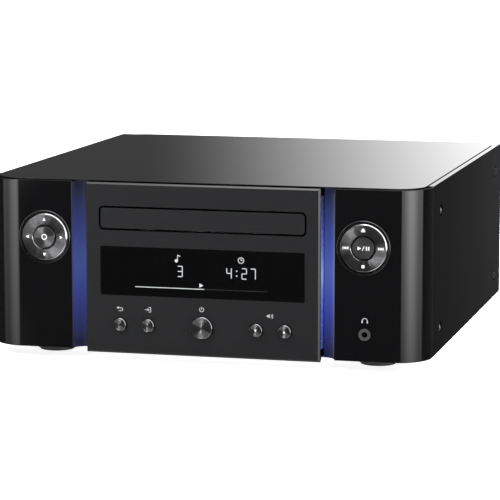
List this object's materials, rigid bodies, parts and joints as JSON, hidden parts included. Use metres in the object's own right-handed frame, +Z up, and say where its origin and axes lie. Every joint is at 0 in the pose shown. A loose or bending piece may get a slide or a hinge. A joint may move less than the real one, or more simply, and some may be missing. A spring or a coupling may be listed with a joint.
{
  "type": "cd receiver",
  "caption": "Compact disc player and amplifier in one low case: gloss wings, lit coves, sliding disc tray, display, push buttons and rocker rings.",
  "frame": {"origin": "centre of the footprint on the table, under the feet", "axes": "front faces -Y, +X to the right seen from the front, +Z up"},
  "size_m": [0.28, 0.303, 0.1124],
  "materials": {
    "steel_black": "fine satin black paint",
    "gloss_black": "piano black, high gloss",
    "top_gloss": "polished acrylic sheet, high gloss",
    "panel_dark": "satin dark anodised",
    "door_dark": "satin dark anodised",
    "window_smoke": "smoked, high gloss",
    "guide_blue": "clear, lit from inside",
    "button_metal": "spun and bevelled",
    "ring_metal": "spun",
    "bezel_metal": "dark, with a bright edge",
    "zinc_steel": "zinc plated",
    "black_plastic": "fine moulded grain",
    "white_plastic": "moulded",
    "board_green": "lacquered circuit board",
    "sink_black": "black anodised",
    "rubber_black": "matt",
    "brass_metal": "turned",
    "cap_red": "moulded",
    "cap_black": "moulded"
  },
  "bodies": {
    "case": {"chassis_base": "zinc_steel", "top_cover": "steel_black", "top_plate": "top_gloss", "rear_panel": "steel_black", "feet": "black_plastic", "foot_pads": "rubber_black", "case_screws": "steel_black", "front_frame": "black_plastic", "center_panel": "panel_dark", "left_wing": "gloss_black", "right_wing": "gloss_black", "left_light_guide": "guide_blue", "right_light_guide": "guide_blue", "display_window": "window_smoke", "display_module": "board_green", "control_board": "board_green", "tact_switches": "zinc_steel", "cursor_bezel": "bezel_metal", "transport_bezel": "bezel_metal", "phones_jack": "black_plastic", "loader_chassis": "black_plastic", "dampers": "rubber_black", "loading_motor": "zinc_steel", "loading_belt": "rubber_black", "clamp_bridge": "zinc_steel", "main_board": "board_green", "amp_board": "board_green", "heat_sink": "sink_black", "power_supply": "board_green", "rear_jacks": "black_plastic", "ac_inlet": "black_plastic", "terminal_block": "black_plastic"},
    "tray": {"tray_door": "door_dark", "disc_tray": "black_plastic"},
    "tray_gear": {"tray_gear": "white_plastic"},
    "motor_pulley": {"motor_pulley": "brass_metal"},
    "traverse": {"traverse_frame": "zinc_steel", "spindle_motor": "zinc_steel", "guide_rods": "zinc_steel", "feed_motor": "zinc_steel"},
    "turntable": {"turntable": "black_plastic"},
    "laser_sled": {"laser_sled": "black_plastic"},
    "feed_screw": {"feed_screw": "brass_metal"},
    "disc_clamp": {"disc_clamp": "white_plastic"},
    "cursor_gimbal": {"cursor_gimbal": "white_plastic"},
    "cursor_ring": {"cursor_ring": "ring_metal"},
    "transport_gimbal": {"transport_gimbal": "white_plastic"},
    "transport_ring": {"transport_ring": "ring_metal"},
    "back_button": {"back_button": "button_metal"},
    "input_button": {"input_button": "button_metal"},
    "power_button": {"power_button": "button_metal"},
    "volume_down_button": {"volume_down_button": "button_metal"},
    "volume_up_button": {"volume_up_button": "button_metal"},
    "enter_button": {"enter_button": "button_metal"},
    "play_button": {"play_button": "button_metal"},
    "post_cap_1": {"post_cap_1": "cap_red"},
    "post_cap_2": {"post_cap_2": "cap_black"},
    "post_cap_3": {"post_cap_3": "cap_red"},
    "post_cap_4": {"post_cap_4": "cap_black"}
  },
  "joints": [
    {"name": "tray_slide", "type": "slide", "parent": "case", "child": "tray", "axis": [0, -1, 0], "range_m": [0, 0.138]},
    {"name": "tray_gear_turn", "type": "hinge", "parent": "case", "child": "tray_gear", "pos_m": [-0.044, -0.1177, 0.0834], "axis": [0, 0, 1], "range_deg": [0, 800]},
    {"name": "motor_pulley_turn", "type": "hinge", "parent": "case", "child": "motor_pulley", "pos_m": [-0.046, -0.0717, 0.0729], "axis": [0, 0, 1], "range_deg": [0, 2920]},
    {"name": "traverse_tip", "type": "hinge", "parent": "case", "child": "traverse", "pos_m": [0, 0.0083, 0.0749], "axis": [1, 0, 0], "range_deg": [0, 6]},
    {"name": "turntable_spin", "type": "hinge", "parent": "traverse", "child": "turntable", "pos_m": [0, -0.0737, 0.0874], "axis": [0, 0, 1], "continuous": true},
    {"name": "sled_feed", "type": "slide", "parent": "traverse", "child": "laser_sled", "axis": [0, 1, 0], "range_m": [0, 0.036]},
    {"name": "feed_screw_turn", "type": "hinge", "parent": "traverse", "child": "feed_screw", "pos_m": [-0.026, -0.0317, 0.0802], "axis": [0, 1, 0], "range_deg": [0, 4340]},
    {"name": "disc_clamp_spin", "type": "hinge", "parent": "case", "child": "disc_clamp", "pos_m": [0, -0.0737, 0.0984], "axis": [0, 0, 1], "continuous": true},
    {"name": "back_press", "type": "slide", "parent": "case", "child": "back_button", "axis": [0, 1, 0], "range_m": [0, 0.0008], "stiffness_N_per_m": 1500},
    {"name": "input_press", "type": "slide", "parent": "case", "child": "input_button", "axis": [0, 1, 0], "range_m": [0, 0.0008], "stiffness_N_per_m": 1500},
    {"name": "power_press", "type": "slide", "parent": "case", "child": "power_button", "axis": [0, 1, 0], "range_m": [0, 0.0008], "stiffness_N_per_m": 1500},
    {"name": "volume_down_press", "type": "slide", "parent": "case", "child": "volume_down_button", "axis": [0, 1, 0], "range_m": [0, 0.0008], "stiffness_N_per_m": 1500},
    {"name": "volume_up_press", "type": "slide", "parent": "case", "child": "volume_up_button", "axis": [0, 1, 0], "range_m": [0, 0.0008], "stiffness_N_per_m": 1500},
    {"name": "cursor_rock_up", "type": "hinge", "parent": "case", "child": "cursor_gimbal", "pos_m": [-0.1013, -0.1447, 0.076], "axis": [1, 0, 0], "range_deg": [-2.5, 2.5], "stiffness_Nm_per_rad": 0.4},
    {"name": "cursor_rock_side", "type": "hinge", "parent": "cursor_gimbal", "child": "cursor_ring", "pos_m": [-0.1013, -0.1447, 0.076], "axis": [0, 0, 1], "range_deg": [-2.5, 2.5], "stiffness_Nm_per_rad": 0.4},
    {"name": "enter_press", "type": "slide", "parent": "case", "child": "enter_button", "axis": [0, 1, 0], "range_m": [0, 0.0008], "stiffness_N_per_m": 1500},
    {"name": "transport_rock_up", "type": "hinge", "parent": "case", "child": "transport_gimbal", "pos_m": [0.1013, -0.1447, 0.076], "axis": [1, 0, 0], "range_deg": [-2.5, 2.5], "stiffness_Nm_per_rad": 0.4},
    {"name": "transport_rock_side", "type": "hinge", "parent": "transport_gimbal", "child": "transport_ring", "pos_m": [0.1013, -0.1447, 0.076], "axis": [0, 0, 1], "range_deg": [-2.5, 2.5], "stiffness_Nm_per_rad": 0.4},
    {"name": "play_press", "type": "slide", "parent": "case", "child": "play_button", "axis": [0, 1, 0], "range_m": [0, 0.0008], "stiffness_N_per_m": 1500},
    {"name": "post_cap_1_turn", "type": "hinge", "parent": "case", "child": "post_cap_1", "pos_m": [0.0435, 0.1465, 0.036], "axis": [0, 1, 0], "range_deg": [0, 1080]},
    {"name": "post_cap_2_turn", "type": "hinge", "parent": "case", "child": "post_cap_2", "pos_m": [0.0625, 0.1465, 0.036], "axis": [0, 1, 0], "range_deg": [0, 1080]},
    {"name": "post_cap_3_turn", "type": "hinge", "parent": "case", "child": "post_cap_3", "pos_m": [0.0815, 0.1465, 0.036], "axis": [0, 1, 0], "range_deg": [0, 1080]},
    {"name": "post_cap_4_turn", "type": "hinge", "parent": "case", "child": "post_cap_4", "pos_m": [0.1005, 0.1465, 0.036], "axis": [0, 1, 0], "range_deg": [0, 1080]}
  ],
  "couplings": [
    {"joint": "tray_gear_turn", "follows": "tray_slide", "rad_per_m": 100},
    {"joint": "motor_pulley_turn", "follows": "tray_slide", "rad_per_m": 366.67},
    {"joint": "feed_screw_turn", "follows": "sled_feed", "rad_per_m": 2094.4}
  ]
}
